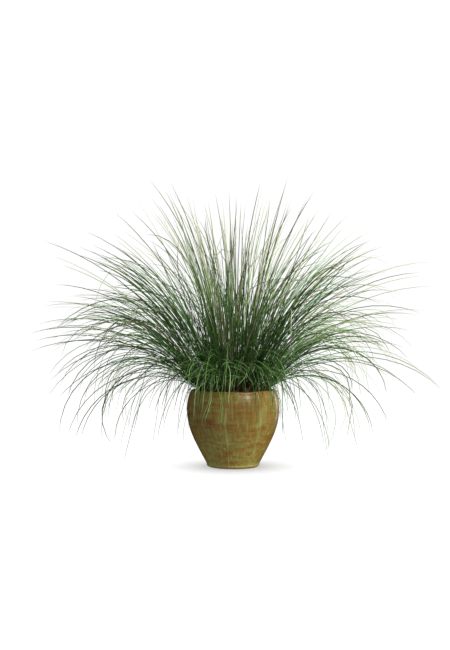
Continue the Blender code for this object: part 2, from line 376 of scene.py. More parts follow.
def spin_outline(outline, columns, closed):
    """Spins an outline of (radius, height) points about +Z and gives the bmesh."""
    bm = bmesh.new()
    verts = [bm.verts.new((radius, 0.0, height)) for radius, height in outline]
    following = verts[1:] + verts[:1] * closed
    edges = [bm.edges.new(pair) for pair in zip(verts, following)]
    turn = {"cent": (0, 0, 0), "axis": (0, 0, 1), "angle": math.tau, "steps": columns}
    bmesh.ops.spin(bm, geom=verts + edges, use_merge=True, **turn)
    bmesh.ops.remove_doubles(bm, verts=bm.verts, dist=0.01 * MM)
    return bm


def pot_column(column):
    """Which seam a column of the pot is nearest, and its arc and its share of the way past it."""
    lobe, place = divmod(column, COLUMNS_PER_LOBE)
    lobe_arc = math.tau / LOBES * BELLY_RADIUS
    if place <= SEAM_COLUMNS:
        arc = SEAM_ZONE * place / SEAM_COLUMNS
    elif place <= SEAM_COLUMNS + PANEL_COLUMNS:
        share = (place - SEAM_COLUMNS) / PANEL_COLUMNS
        arc = SEAM_ZONE + (lobe_arc - 2 * SEAM_ZONE) * share
    else:
        arc = lobe_arc - SEAM_ZONE * (COLUMNS_PER_LOBE - place) / SEAM_COLUMNS
    heading = FIRST_SEAM + lobe * math.tau / LOBES + arc / BELLY_RADIUS
    seam = lobe if arc < lobe_arc / 2 else (lobe + 1) % LOBES
    past_seam = arc if arc < lobe_arc / 2 else arc - lobe_arc
    return heading, seam, past_seam, arc / lobe_arc


def lobing_at(height):
    """How strongly the lobes show at a height: fully at the belly, less at foot and rim."""
    rise = (height - FOOT_BAND_TOP) / (POT_HEIGHT - FOOT_BAND_TOP)
    from_foot = LOBING_AT_FOOT + (1 - LOBING_AT_FOOT) * min(1.0, max(0.0, rise) / 0.3)
    from_rim = LOBING_AT_RIM + (1 - LOBING_AT_RIM) * min(1.0, (1 - rise) / 0.15)
    return min(from_foot, from_rim)


def relief_at(seam, past_seam, across, height):
    """How far the wall stands out at a place, and how much of a rib and a groove are there."""
    past_seam += sum(
        far * math.sin(math.tau * (height / wavelength + later * seam))
        for far, wavelength, later in SEAM_WAVES
    )
    crest = math.exp(-((past_seam / SEAM_HALF_WIDTH) ** 2))
    groove = math.exp(-(((past_seam + GROOVE_BESIDE) / GROOVE_WIDTH) ** 2))
    fade = min(1.0, max(0.0, (POT_HEIGHT - 2 * MM - height) / (16 * MM)))
    fade *= min(1.0, max(0.0, (height - 3 * MM) / (8 * MM)))
    waver = 0.75 + 0.25 * math.sin(math.tau * (height / (63 * MM) + 0.23 * seam))
    rib = crest * fade * waver
    relief = -LOBE_DEPTH * (1 - math.sin(math.pi * across)) * lobing_at(height)
    relief += SEAM_HEIGHT * rib - GROOVE_DEPTH * groove * fade
    relief += THROWING_DEPTH * math.sin(math.tau * height / THROWING_PITCH)
    return relief, rib, groove * fade


def make_pot():
    """A turned pot with a rounded lip, pressed into lobes whose seams stand up as thin ribs."""
    foot_inner = FOOT_RADIUS - FOOT_RING_WIDTH
    under = [(DRAIN_RADIUS, FLOOR_TOP), (DRAIN_RADIUS, FOOT_RECESS)]
    under += [(foot_inner - FOOT_RECESS, FOOT_RECESS), (foot_inner, 0.0)]
    band = curve(
        (FOOT_RADIUS - 2.5 * MM, 0.0),
        (FOOT_RADIUS + 2.0 * MM, 0.0),
        (FOOT_BAND_RADIUS + 1.5 * MM, FOOT_BAND_TOP - 5.0 * MM),
        (FOOT_BAND_RADIUS - 0.8 * MM, FOOT_BAND_TOP - 1.2 * MM),
        9,
    )
    lip = curve(
        OUTSIDE[-1],
        (RIM_RADIUS - 0.5 * MM, POT_HEIGHT + 1.6 * MM),
        (RIM_RADIUS - WALL + 0.5 * MM, POT_HEIGHT + 1.6 * MM),
        (RIM_RADIUS - WALL, POT_HEIGHT - LIP_DEPTH),
        10,
    )[1:]
    under_lip = POT_HEIGHT - 2 * LIP_DEPTH
    inside = [(r - WALL, z) for r, z in reversed(PLAIN_OUTSIDE) if z < under_lip]
    inside.append((inside[-1][0] - 8.0 * MM, FLOOR_TOP))
    columns = LOBES * COLUMNS_PER_LOBE
    bm = spin_outline(under + band + OUTSIDE + lip + inside, columns, closed=True)
    ridge_layer = bm.verts.layers.float.new("ridge")
    pool_layer = bm.verts.layers.float.new("pool")
    for vert in bm.verts:
        column = round(math.atan2(vert.co.y, vert.co.x) / math.tau * columns) % columns
        heading, seam, past_seam, across = pot_column(column)
        radius, height = vert.co.xy.length, vert.co.z
        outer = radius > RIM_RADIUS - WALL / 2 or (
            height < BELLY_HEIGHT and radius > foot_inner + wall_radius(height) - FOOT_BAND_RADIUS
        )
        if outer:
            relief, rib, groove = relief_at(seam, past_seam, across, height)
            radius += relief
            vert[ridge_layer] = rib
            vert[pool_layer] = groove
        vert.co.x = radius * math.cos(heading)
        vert.co.y = radius * math.sin(heading)
    for face in bm.faces:
        middle = face.calc_center_median()
        inner = middle.xy.length < wall_radius(middle.z) - WALL / 2
        bare = middle.z < 1.2 * MM or (inner and middle.z < SOIL_TOP - 6 * MM)
        face.material_index = 1 if bare else 0
    materials = [glaze_material(), bare_clay_material()]
    finish_piece("glazed_pot", mesh_of("glazed_pot", bm), materials, ["pot"])


def glaze_material():
    """Stoneware under a brushed, running ash glaze: amber where thin, olive and rust in strokes.

    It shows level brush strokes with soft ends, thin upright runs, pale celadon where the glaze
    breaks over the seams, the lip and the foot, and a soft gloss that blurs what it mirrors.
    Light is also painted into its colour: the right side, towards the softbox, is lighter, and so
    is the lower wall, where light bounces up from the table.
    """
    material, tree = start_material(
        "brushed ash glaze on stoneware", IOR=1.52, Specular_IOR_Level=0.3
    )
    place = add(tree, "TexCoord").outputs["Object"]
    along = add(tree, "SeparateXYZ", {"Vector": place}).outputs

    # Level strokes about 75 mm long and 11 mm tall, straying by up to 11 mm, with the brush's hairs
    # in them as streaks 4 mm apart
    stray = add(tree, "TexNoise", {"Vector": place, "Scale": 16.0, "Detail": 2.0}).outputs["Color"]
    shifts = {0: stray, 1: (0.022, 0.022, 0.022), 2: place}
    strayed = add(tree, "VectorMath", shifts, operation="MULTIPLY_ADD").outputs["Vector"]
    strokes = grains(tree, squeezed(tree, strayed, 7.0), 13.0, 4.0, 0.6)
    hairs = grains(tree, squeezed(tree, strayed, 15.0), 17.0, 2.0, 0.6)

    # Broad drifts of thicker and thinner glaze, about 40 mm wide and 20 mm tall
    drifts = grains(tree, squeezed(tree, place, 2.0), 26.0, 3.0)
    brushed = add(tree, "Mix", {"Factor": 0.36, "A": strokes, "B": hairs}).outputs[0]
    coat = add(tree, "Mix", {"Factor": 0.24, "A": brushed, "B": drifts}).outputs[0]
    amber = (
        (0.34, "#4a2d10"), (0.68, "#6f6d40"), (0.41, "#583813"),
        (0.47, "#5b461b"), (0.53, "#594e20"), (0.6, "#5e5a2b"),
    )
    colour = ramp(tree, coat, amber)

    # Thin upright runs, about 6 mm apart and 80 mm long: pale ones, and rusty ones between them
    runs = grains(tree, squeezed(tree, place, 0.07), 170.0, 3.0, 0.6)
    pale_runs = (0.5, 0.68, 0.6, "#666b3a")
    rusty_runs = (0.46, 0.3, 0.4, "#472d12")
    for low, high, share, run_colour in (pale_runs, rusty_runs):
        run = mapped(tree, runs, low, high, 0.0, share)
        colour = laid(tree, run, colour, linear(run_colour))

    # Celadon where the glaze is thin: over the seams, along the lip and on the foot band
    ridge = painted(tree, "ridge")
    rise = mapped(tree, along["Z"], 0.0, 0.21)
    edges = (
        (0.005, "#606060"), (0.99, "#8e8e8e"), (0.035, "#a4a4a4"),
        (0.058, "#909090"), (0.08, "#000000"), (0.965, "#000000"),
    )
    thin = ramp(tree, rise, edges)
    broken = mapped(tree, drifts, 0.3, 0.6)
    over_ridge = add(tree, "Math", {0: ridge, 1: broken}, operation="MULTIPLY").outputs[0]
    softly = {0: over_ridge, 1: 0.75, 2: thin}
    celadon = add(tree, "Math", softly, operation="MULTIPLY_ADD", use_clamp=True).outputs[0]
    colour = laid(tree, celadon, colour, linear("#6c7041"))

    # Darker where the glaze pools beside the seams
    pool = painted(tree, "pool")
    pooled = add(tree, "Math", {0: pool, 1: 0.2}, operation="MULTIPLY").outputs[0]
    colour = laid(tree, pooled, colour, linear("#2c2610"))

    # Painted light: lighter towards the right, where the softbox falls, and lighter towards the
    # foot, where light bounces up from the table
    fired = mapped(tree, along["X"], -0.12, 0.12, 0.88, 1.34, interpolation_type="SMOOTHSTEP")
    painted_table_bounce = mapped(tree, along["Z"], 0.0, 0.11, 1.5, 1.0)
    painted_light_gain = add(tree, "Math", {0: fired, 1: painted_table_bounce}, operation="MULTIPLY").outputs[0]
    colour = add(tree, "VectorMath", {0: colour, "Scale": painted_light_gain}, operation="SCALE").outputs["Vector"]

    # A little less gloss on the olive drifts, and a faint relief of the runs and drifts
    tree.links.new(mapped(tree, drifts, 0.3, 0.7, 0.28, 0.4), shader_input(tree, "Roughness"))
    relief = add(tree, "Mix", {"Factor": 0.5, "A": runs, "B": drifts}).outputs[0]
    dress(tree, colour, relief, 0.2, 0.5 * MM)
    return material


def bare_clay_material():
    """Unglazed stoneware: buff fired clay, matt, with grog about 2 mm apart in it."""
    buffs = ((0.3, "#7a5a3c"), (0.7, "#a88660"))
    return grainy_material("unglazed buff stoneware", 0.85, 420.0, 3.0, buffs, 0.5, 0.2 * MM)


# Soil and crown


def crown_height(radius):
    """Height of the crown's dome at a distance from the pot's axis."""
    return CROWN_TOP - CROWN_CURVE + math.sqrt(CROWN_CURVE**2 - radius**2)


def make_soil():
    """The potting mix round the crown: an uneven bed."""
    sides = [(r - WALL - SOIL_SIDE_GAP, z) for r, z in PLAIN_OUTSIDE if z < SOIL_TOP]
    seat_radius = CROWN_RADIUS + SOIL_SIDE_GAP
    edge_radius = RIM_RADIUS - WALL - SOIL_SIDE_GAP
    top = [(edge_radius + (seat_radius - edge_radius) * row / 7, SOIL_TOP) for row in range(8)]
    floor = FLOOR_TOP + GAP
    outline = [(0.0, floor), (sides[0][0] - 8.0 * MM, floor)] + sides + top
    outline += [(seat_radius, CROWN_SEAT), (0.0, CROWN_SEAT)]
    bm = spin_outline(outline, 240, closed=False)
    for vert in bm.verts:
        if vert.co.z > SOIL_TOP - 0.1 * MM:
            vert.co.z += 1.6 * MM * noise.fractal(vert.co * 160.0, 0.8, 2.0, 4)
    mesh = mesh_of("soil_bed", bm)
    finish_piece("soil_bed", mesh, [soil_material()], ["soil"])


def soil_material():
    """Moist peat and bark potting mix: dark, matt and crumbly, in grains of about 4 mm."""
    peats = ((0.35, "#17100b"), (0.7, "#3d2c1d"))
    return grainy_material("moist peat potting mix", 0.95, 260.0, 5.0, peats, 0.8, 0.8 * MM)


def joined_copies(name, shape, places, chance):
    """One mesh of many copies of a small shape, each with its own place, size and tone."""
    bmesh.ops.triangulate(shape, faces=shape.faces)
    bmesh.ops.recalc_face_normals(shape, faces=shape.faces)
    shape.verts.index_update()
    corners = np.array([(*vert.co, 1.0) for vert in shape.verts])
    faces = np.array([[vert.index for vert in face.verts] for face in shape.faces])
    shape.free()
    moved = np.einsum("pij,vj->pvi", np.array(places), corners)[..., :3]
    starts = np.arange(len(places))[:, None, None] * len(corners)
    mesh = bpy.data.meshes.new(name)
    mesh.from_pydata(moved.reshape(-1, 3).tolist(), [], (faces + starts).reshape(-1, 3).tolist())
    mesh.shade_smooth()
    tones = np.repeat([chance.random() for _place in places], len(corners))
    mesh.attributes.new("tone", "FLOAT", "POINT").data.foreach_set("value", tones.astype(np.float32))
    return mesh


def make_crumbs():
    """Peat crumbs and flakes of bark that lie loose on the bed between the crown and the rim."""
    chance = random.Random(11)
    shape = bmesh.new()
    bmesh.ops.create_icosphere(shape, subdivisions=1, radius=0.5)
    for vert in shape.verts:
        vert.co *= 1 + 0.35 * noise.noise(vert.co * 3.0)
    places = []
    for _crumb in range(CRUMBS):
        flake = chance.random() < 0.3
        heading = chance.uniform(0.0, math.tau)
        radius = chance.uniform(CROWN_RADIUS + 1.5 * MM, RIM_RADIUS - WALL - 3.5 * MM)
        size = chance.uniform(1.2, 3.0) * MM
        stretch = (2.0, 1.3, 0.5) if flake else (1.2, 1.0, 0.8)
        rise = SOIL_TOP + size * chance.uniform(0.0, 0.35)
        tilt = 0.5 if flake else math.pi
        tip_over = (chance.uniform(-tilt, tilt), chance.uniform(-tilt, tilt))
        turn = (*tip_over, chance.uniform(0.0, math.tau))
        spot = Vector((radius * math.cos(heading), radius * math.sin(heading), rise))
        scale = Vector(stretch) * size
        places.append(Matrix.LocRotScale(spot, Euler(turn), scale))
    mesh = joined_copies("soil_crumbs", shape, places, chance)
    finish_piece("soil_crumbs", mesh, [bark_material()])


def bark_material():
    """Composted bark and peat: matt, dark brown to fox brown, with pores about 1.5 mm apart.

    Each crumb has its own shade.
    """
    material, tree = start_material("composted bark and peat crumbs", Roughness=0.92)
    tone = painted(tree, "tone")
    pores = grains(tree, add(tree, "TexCoord").outputs["Object"], 700.0, 3.0)
    shade = add(tree, "Mix", {"Factor": 0.35, "A": tone, "B": pores}).outputs[0]
    browns = ((0.1, "#150e08"), (0.95, "#6b4c2e"), (0.6, "#33231a"))
    dress(tree, ramp(tree, shade, browns), pores, 0.6, 0.3 * MM)
    return material


def make_crown():
    """The low dome of old stem bases that the tufts grow from."""
    bottom = CROWN_SEAT + GAP
    rows = 24
    outline = [(0.0, bottom), (CROWN_RADIUS, bottom)]
    for row in range(rows + 1):
        radius = CROWN_RADIUS * (1 - row / rows)
        outline.append((radius, crown_height(radius)))
    bm = spin_outline(outline, 96, closed=False)
    for vert in bm.verts:
        if vert.co.z > bottom + CROWN_EDGE / 2:
            vert.co.z += 1.2 * MM * noise.fractal(vert.co * 120.0, 0.8, 2.0, 4) - 0.8 * MM
    mesh = mesh_of("root_crown", bm)
    thatch = thatch_material()
    make_stubs(thatch)
    finish_piece("root_crown", mesh, [thatch], ["crown"])


def make_stubs(thatch):
    """Dry stubs of leaf sheaths, broken off short, standing thickly between the tufts."""
    chance = random.Random(12)
    shape = bmesh.new()
    bmesh.ops.create_cone(shape, cap_ends=True, segments=5, radius1=0.5, radius2=0.36, depth=1.0)
    upright = [edge for edge in shape.edges if abs(edge.verts[0].co.z - edge.verts[1].co.z) > 0.5]
    bmesh.ops.subdivide_edges(shape, edges=upright, cuts=1)
    for vert in shape.verts:
        vert.co.x += 0.5 * (0.25 - vert.co.z**2)
        vert.co.z += 0.5 + 0.1 * vert.co.y * (vert.co.z > 0.4)
    places = []
    for _stub in range(STUBS):
        heading = chance.uniform(0.0, math.tau)
        radius = (CROWN_RADIUS - 3 * MM) * math.sqrt(chance.random())
        spot = Vector((radius * math.cos(heading), radius * math.sin(heading), 0.0))
        spot.z = crown_height(radius) - 3 * MM
        slope = radius / CROWN_CURVE + math.radians(chance.uniform(-12.0, 28.0))
        turn = Euler((0.0, slope, heading + math.radians(chance.gauss(0.0, 25.0))), "XYZ")
        width = chance.uniform(1.3, 2.6) * MM
        tall = chance.uniform(7.0, 24.0) * MM
        places.append(Matrix.LocRotScale(spot, turn, Vector((width, width, tall))))
    mesh = joined_copies("sheath_stubs", shape, places, chance)
    finish_piece("sheath_stubs", mesh, [thatch])


def thatch_material():
    """Old leaf sheaths and stem bases: dry and brown, in bundles of fibre about 5 mm apart.

    Some stubs are bleached to straw.
    """
    material, tree = start_material("dry leaf sheath thatch", Roughness=0.9)
    fibre = grains(tree, add(tree, "TexCoord").outputs["Object"], 190.0, 4.0)
    brown = ramp(tree, fibre, ((0.3, "#1f160d"), (0.7, "#5a4a2f")))
    tone = painted(tree, "tone")
    dress(tree, laid(tree, tone, brown, linear("#8a7a55")), fibre, 0.7, 0.6 * MM)
    return material


# Grass


def tuft_plan():
    """Every tuft's place, lean and length, drawn as the solids draw them."""
    tufts = []
    spots = [(ring, place) for ring in RINGS for place in range(ring.count)]
    for number, (ring, place) in enumerate(spots, 1):
        chance = random.Random(number)
        heading = ring.turn + 360.0 * place / ring.count + chance.uniform(-3.5, 3.5)
        facing = abs(math.sin(math.radians(heading))) ** 3
        hanging = ring is RINGS[-1] and place % HANGING_EVERY == 1
        habit = HANGING if hanging else ring
        stiffness = 0.0 if hanging else STIFFER * facing * ring.radius / RINGS[-1].radius
        stagger = habit.stagger * (1 if place % 2 else -1)
        end_lean = habit.end_lean - stiffness + 2.5 * stagger + chance.uniform(-8.0, 8.0)
        tuft = Tuft(
            number=number,
            ring=RINGS.index(ring),
            heading=math.radians(heading),
            radius=habit.radius,
            lean=math.radians(habit.lean + stagger + chance.uniform(-1.5, 1.5)),
            end_lean=math.radians(min(end_lean, HANGING.end_lean)),
            length=habit.length * (1 - SHORTER * facing) * chance.uniform(0.9, 1.04),
            bend=habit.bend,
        )
        tufts.append(tuft)
    return tufts


def directions(heading, lean):
    """Unit vectors that point along a heading at a lean, as an array with x, y and z last."""
    flat = np.sin(lean)
    return np.stack([np.cos(heading) * flat, np.sin(heading) * flat, np.cos(lean)], axis=-1)


def stands_in_front(tuft):
    """Whether a tuft leans out over the front of the pot."""
    return tuft.ring >= INNER_RINGS and math.sin(tuft.heading) < FRONT_BELOW


def hangs(tuft):
    """Whether a tuft bends right over and hangs down the pot."""
    return tuft.end_lean > math.radians(150.0)


def finer_in_front(tuft):
    """The blades that lean towards the front of the clump are its youngest and finest."""
    forwards = max(0.0, -math.sin(tuft.heading))
    return 1 - FINER_IN_FRONT * forwards * (tuft.ring >= INNER_RINGS)


def leading_blades(tuft, shade):
    """The three long blades of a tuft's solid, drawn as the solid draws them."""
    chance = random.Random(tuft.number * 7)
    look = random.Random(500 + tuft.number)
    leaders = []
    corner = BUNDLE_TOP_RADIUS / math.sqrt(3)
    young = YOUNG if stands_in_front(tuft) or hangs(tuft) else 1.0
    for fan, turn in ((-1, -60.0), (0, 180.0), (1, 60.0)):
        lift = math.radians(3.0 if fan == 0 else 0.0)
        leader = Blade(
            under=corner * math.cos(math.radians(turn)),
            across=corner * math.sin(math.radians(turn)),
            rise=BUNDLE_LENGTH,
            heading=tuft.heading + math.radians(fan * FAN + chance.uniform(-2.0, 2.0)),
            lean=tuft.lean - lift,
            end_lean=tuft.end_lean - lift + math.radians(chance.uniform(-7.0, 5.0)),
            length=(tuft.length - BUNDLE_LENGTH) * (chance.uniform(0.86, 0.98) if fan else 1.0),
            swing=math.radians(chance.uniform(-4.0, 4.0)),
            bend=tuft.bend,
            width=LEADING_WIDTH * finer_in_front(tuft),
            roll=look.uniform(0.0, math.tau),
            twist=look.uniform(-1.5, 1.5),
            tone=mixed_tone(shade, look) * young,
            ripe=young,
        )
        leaders.append(leader)
    return leaders


def mixed_tone(shade, chance):
    """A blade's tone: dark or light, seldom between, and more often light in a light tuft."""
    light = chance.random() < LIGHT_SHARE + LIGHT_TUFT * shade
    return chance.uniform(*LIGHT_TONES) if light else chance.uniform(*DARK_TONES)


def thinness(heading, lean):
    """How near a blade stands to the middle of the clump's thin stretch, seen from the front."""
    aside = math.degrees(math.atan2(math.sin(lean) * math.cos(heading), math.cos(lean)))
    return math.exp(-(((aside - THIN_ASIDE) / THIN_WIDTH) ** 2))


def following_blades(kind, leaders, tuft, shade, fullness, chance):
    """Blades that gather round the leading ones, and stray from them as their kind does."""
    followers = []
    leftward = max(0.0, -math.cos(tuft.heading))
    rightward = max(0.0, math.cos(tuft.heading))
    steeper = RISE[tuft.ring] + STEEPER_LEFT[tuft.ring] * leftward
    steeper += STEEPER_RIGHT[tuft.ring] * rightward + SHORT_STEEPER * (kind is SHORT)
    tilt = kind.tilt * (1 + WIDER_LEFT[tuft.ring] * leftward)
    in_front = stands_in_front(tuft)
    young = YOUNG if in_front else 1.0
    finer = finer_in_front(tuft)
    for count in range(round(kind.counts[tuft.ring] * fullness)):
        leader = leaders[count % 3]
        reach = chance.uniform(*kind.reach)
        reach **= LONGER_INSIDE if tuft.ring < INNER_RINGS else 1.0
        stray = chance.gauss(0.0, tilt)
        lower = stray * (kind.sag if stray > 0 else 1.0)
        lean = leader.lean + math.radians(lower - steeper)
        bent = (leader.end_lean - leader.lean) * reach**leader.bend
        place = chance.uniform(0.0, math.tau)
        offset = BUNDLE_RADIUS * math.sqrt(chance.random())
        kinked = chance.random() < KINKED and kind not in (SHORT, PALE) and not in_front
        tone = mixed_tone(shade, chance) * young
        if chance.random() < THIN_SHARE * thinness(leader.heading, lean + THIN_BEND * bent):
            continue
        width = kind.width * (DARK_WIDTH if tone < 0.5 else LIGHT_WIDTH)
        follower = Blade(
            under=offset * math.cos(place),
            across=offset * math.sin(place),
            rise=BUNDLE_LENGTH * chance.uniform(0.3, 1.0),
            heading=leader.heading + math.radians(chance.gauss(0.0, kind.fan)),
            lean=max(lean, 0.0),
            end_lean=lean + bent + math.radians(chance.gauss(kind.droop, kind.curl)),
            length=leader.length * reach,
            swing=math.radians(chance.gauss(0.0, 8.0 + kind.fan)),
            bend=tuft.bend * chance.uniform(0.8, 1.9),
            kink=math.radians(chance.uniform(*KINK)) * kinked,
            kink_at=chance.uniform(*KINK_AT),
            width=width * chance.uniform(0.75, 1.15) * finer,
            roll=chance.uniform(0.0, math.tau),
            twist=chance.uniform(-1.5, 1.5),
            sway=chance.gauss(0.0, 5.0) * MM,
            tone=tone,
            ripe=kind.ripe * chance.uniform(0.8, 1.0) * young,
            age=chance.uniform(0.5, 1.0) if chance.random() < WITHERED[tuft.ring] else 0.0,
            bloom=1.0 if kind is PALE else 0.0,
        )
        followers.append(follower)
    return followers


def nearness(heading, middles, width):
    """How near a heading is to the nearest of some others, all but the first in degrees."""
    off = min(abs(math.remainder(math.degrees(heading) - middle, 360.0)) for middle in middles)
    return math.exp(-((off / width) ** 2))


def drooping_blades(tuft, chance):
    """Soft young blades: curls, a fringe that hangs down the pot, and trails beside it."""
    droopers = []
    facing = abs(math.sin(tuft.heading)) ** 3
    locked = nearness(tuft.heading, LOCKS, LOCK_WIDTH) * math.sqrt(facing)
    trailing = nearness(tuft.heading, TRAIL_HEADINGS, TRAIL_WIDTH)
    curls = round(CURLS[tuft.ring] * (CURLS_BESIDE + (1 - CURLS_BESIDE) * facing))
    fringe = round(FRINGE[tuft.ring] * (FRINGE_BETWEEN * facing + (1 - FRINGE_BETWEEN) * locked))
    trails = round(TRAILS * trailing) * (tuft.ring == len(RINGS) - 1)
    for habit in [CURL] * curls + [STRAND] * fringe + [TRAIL] * trails:
        lean = chance.uniform(*habit.lean)
        end_lean = chance.uniform(*habit.end_lean)
        settle = chance.uniform(*habit.settle) if habit.settle else 1.0
        draw_length = chance.triangular if habit is STRAND else chance.uniform
        length = draw_length(*habit.length) * MM
        place = chance.uniform(0.0, math.tau)
        offset = BUNDLE_RADIUS * math.sqrt(chance.random())
        drooper = Blade(
            under=offset * math.cos(place),
            across=offset * math.sin(place),
            rise=BUNDLE_LENGTH * chance.uniform(0.3, 1.0),
            heading=tuft.heading + math.radians(chance.gauss(0.0, habit.spread)),
            lean=math.radians(lean),
            end_lean=math.radians(end_lean),
            settle=settle,
            length=length,
            swing=math.radians(chance.gauss(0.0, habit.stray)),
            bend=chance.uniform(0.9, 1.8),
            width=DROOPING_WIDTH * chance.uniform(0.8, 1.2),
            roll=chance.uniform(0.0, math.tau),
            twist=chance.uniform(-2.0, 2.0),
            sway=chance.gauss(0.0, 9.0) * MM,
            tone=chance.random() ** 1.1,
            ripe=chance.uniform(0.3, 0.6),
        )
        droopers.append(drooper)
    return droopers


def leaning_at(each, share):
    """The blades' lean at a share of their length, past their bend and any kink."""
    bent = (each.end_lean - each.lean) * np.minimum(1.0, share / each.settle) ** each.bend
    folded = each.kink * np.clip((share - each.kink_at) / KINK_LENGTH, 0.0, 1.0)
    return np.minimum(each.lean + bent + folded, np.maximum(math.pi, each.end_lean))


def blade_lines(tuft, blades):
    """The middle line of each blade, with its across and under directions, as arrays."""
    each = Blade(*np.array(blades).T[..., None])
    outward = directions(tuft.heading, math.pi / 2)
    sideways = directions(tuft.heading + math.pi / 2, math.pi / 2)
    slope = math.asin(tuft.radius / CROWN_CURVE)
    normal = directions(tuft.heading, slope)
    down_slope = directions(tuft.heading, slope + math.pi / 2)
    stem = directions(tuft.heading, tuft.lean)
    under_stem = directions(tuft.heading, tuft.lean + math.pi / 2)
    seat = outward * tuft.radius + np.array([0.0, 0.0, crown_height(tuft.radius)]) - normal * 2 * MM
    base = seat + down_slope * each.under + sideways * each.across
    root = seat + normal * (2 * MM + GAP) + stem * each.rise
    root = root + under_stem * each.under + sideways * each.across
    steps = BLADE_RINGS * SUBSTEPS
    middle = (np.arange(steps) + 0.5) / steps
    heading = each.heading + each.swing * middle
    step = directions(heading, leaning_at(each, middle)) * each.length[..., None] / steps
    line = root[:, None] + np.cumsum(step, axis=1)[:, SUBSTEPS - 1 :: SUBSTEPS]
    line = np.concatenate([base[:, None], root[:, None], line], axis=1)
    share = np.concatenate([[0.0, 0.0], np.arange(1, BLADE_RINGS + 1) / BLADE_RINGS])
    turned = each.heading + each.swing * share
    across = directions(turned + math.pi / 2, np.full_like(turned, math.pi / 2))
    under = np.cross(across, directions(turned, leaning_at(each, share)))
    wave = np.sin(math.tau * (1.3 * share + 7.0 * each.tone)) * share * each.sway
    line = line + across * wave[..., None]
    rolled = (each.roll + each.twist * share)[..., None]
    beside = across * np.cos(rolled) + under * np.sin(rolled)
    below = under * np.cos(rolled) - across * np.sin(rolled)
    return clear_of_pot(line), beside, below


def clear_of_pot(line):
    """Lays what would pass through the pot's wall or the floor on it instead."""
    radius = np.linalg.norm(line[..., :2], axis=-1)
    height = line[..., 2]
    beside = (height < POT_HEIGHT + 1 * MM) & (radius > RIM_RADIUS - WALL)
    wall = np.interp(height, WALL_HEIGHTS, WALL_RADII) + 1.5 * MM
    wanted = np.where(beside, np.maximum(radius, wall), radius)
    line = line.copy()
    line[..., :2] *= (wanted / np.maximum(radius, MM))[..., None]
    line[..., 2] = np.maximum(height, 3 * MM)
    return line


def blade_mesh(name, tuft, blades):
    """One joined mesh of a tuft's blades: three-sided, closed, and drawn out to fine tips."""
    line, across, under = blade_lines(tuft, blades)
    count, rings = len(blades), BLADE_RINGS + 1
    outside = ROOT_SHARE + (1 - ROOT_SHARE) * np.arange(1, rings) / BLADE_RINGS
    share = np.concatenate([[0.0, ROOT_SHARE], outside])
    widening = ROOT_WIDTH + (1 - ROOT_WIDTH) * np.minimum(1.0, share / WIDEST_AT)
    taper = (1 - share**TIP_POWER) * widening
    width = np.array([blade.width for blade in blades])[:, None, None]
    half = width / 2 * taper[None, :, None]
    depth = half * SECTION_DEPTH
    left = (line - across * half - under * depth)[:, :rings]
    keel = (line + under * depth * KEEL)[:, :rings]
    right = (line + across * half - under * depth)[:, :rings]
    corners = np.stack([left, keel, right], axis=2).reshape(count, -1, 3)
    points = np.concatenate([corners, line[:, rings : rings + 1]], axis=1)
    per_blade = points.shape[1]
    spans = [(ring, side) for ring in range(rings - 1) for side in range(3)]
    near = [(3 * ring + side, 3 * ring + (side + 1) % 3) for ring, side in spans]
    sides = [[here, beside, beside + 3, here + 3] for here, beside in near]
    last = 3 * (rings - 1)
    ends = [[last + side, last + (side + 1) % 3, last + 3] for side in range(3)] + [[2, 1, 0]]
    starts = np.arange(count)[:, None, None] * per_blade
    quads = (np.array(sides)[None] + starts).reshape(-1, 4)
    triangles = (np.array(ends)[None] + starts).reshape(-1, 3)
    mesh = bpy.data.meshes.new(name)
    mesh.from_pydata(points.reshape(-1, 3).tolist(), [], quads.tolist() + triangles.tolist())
    mesh.shade_smooth()
    lengthwise = np.append(np.repeat(share[:rings], 3), 1.0)
    ripe = np.array([blade.ripe for blade in blades])
    values = {
        "along": (ripe[:, None] * lengthwise).ravel(),
        "side": np.tile(np.append(np.tile([0.0, 0.5, 1.0], rings), 0.5), count),
    }
    for title in ("tone", "age", "bloom"):
        values[title] = np.repeat([getattr(blade, title) for blade in blades], per_blade)
    for title, numbers in values.items():
        layer = mesh.attributes.new(title, "FLOAT", "POINT")
        layer.data.foreach_set("value", numbers.astype(np.float32))
    strip_map(mesh, count, spans, share)
    return mesh


def strip_map(mesh, count, spans, share):
    """Lays each side of each blade out as a strip of its own, for colours to be baked on."""
    low, high = 0.04, 0.96
    quads = [
        [(share[ring], side + low), (share[ring], side + high)]
        + [(share[ring + 1], side + high), (share[ring + 1], side + low)]
        for ring, side in spans
    ]
    last = share[len(share) - 2]
    tips = [[(last, side + low), (last, side + high), (1.0, side + 0.5)] for side in range(3)]
    cap = [[(-0.04, low), (-0.02, low), (-0.02, high)]]
    column, row = np.arange(count) % MAP_COLUMNS, np.arange(count) // MAP_COLUMNS
    rows = 3 * (row.max() + 1)
    placed = []
    for corners in (np.array(quads), np.array(tips + cap)):
        flat = corners.reshape(1, -1, 2)
        lengthwise = (column[:, None] + 0.05 + 0.93 * flat[..., 0]) / MAP_COLUMNS
        crosswise = (3 * row[:, None] + flat[..., 1]) / rows
        placed.append(np.stack([lengthwise, crosswise], axis=-1).reshape(-1, 2))
    layer = mesh.uv_layers.new(name="OFBake")
    layer.uv.foreach_set("vector", np.concatenate(placed).astype(np.float32).ravel())


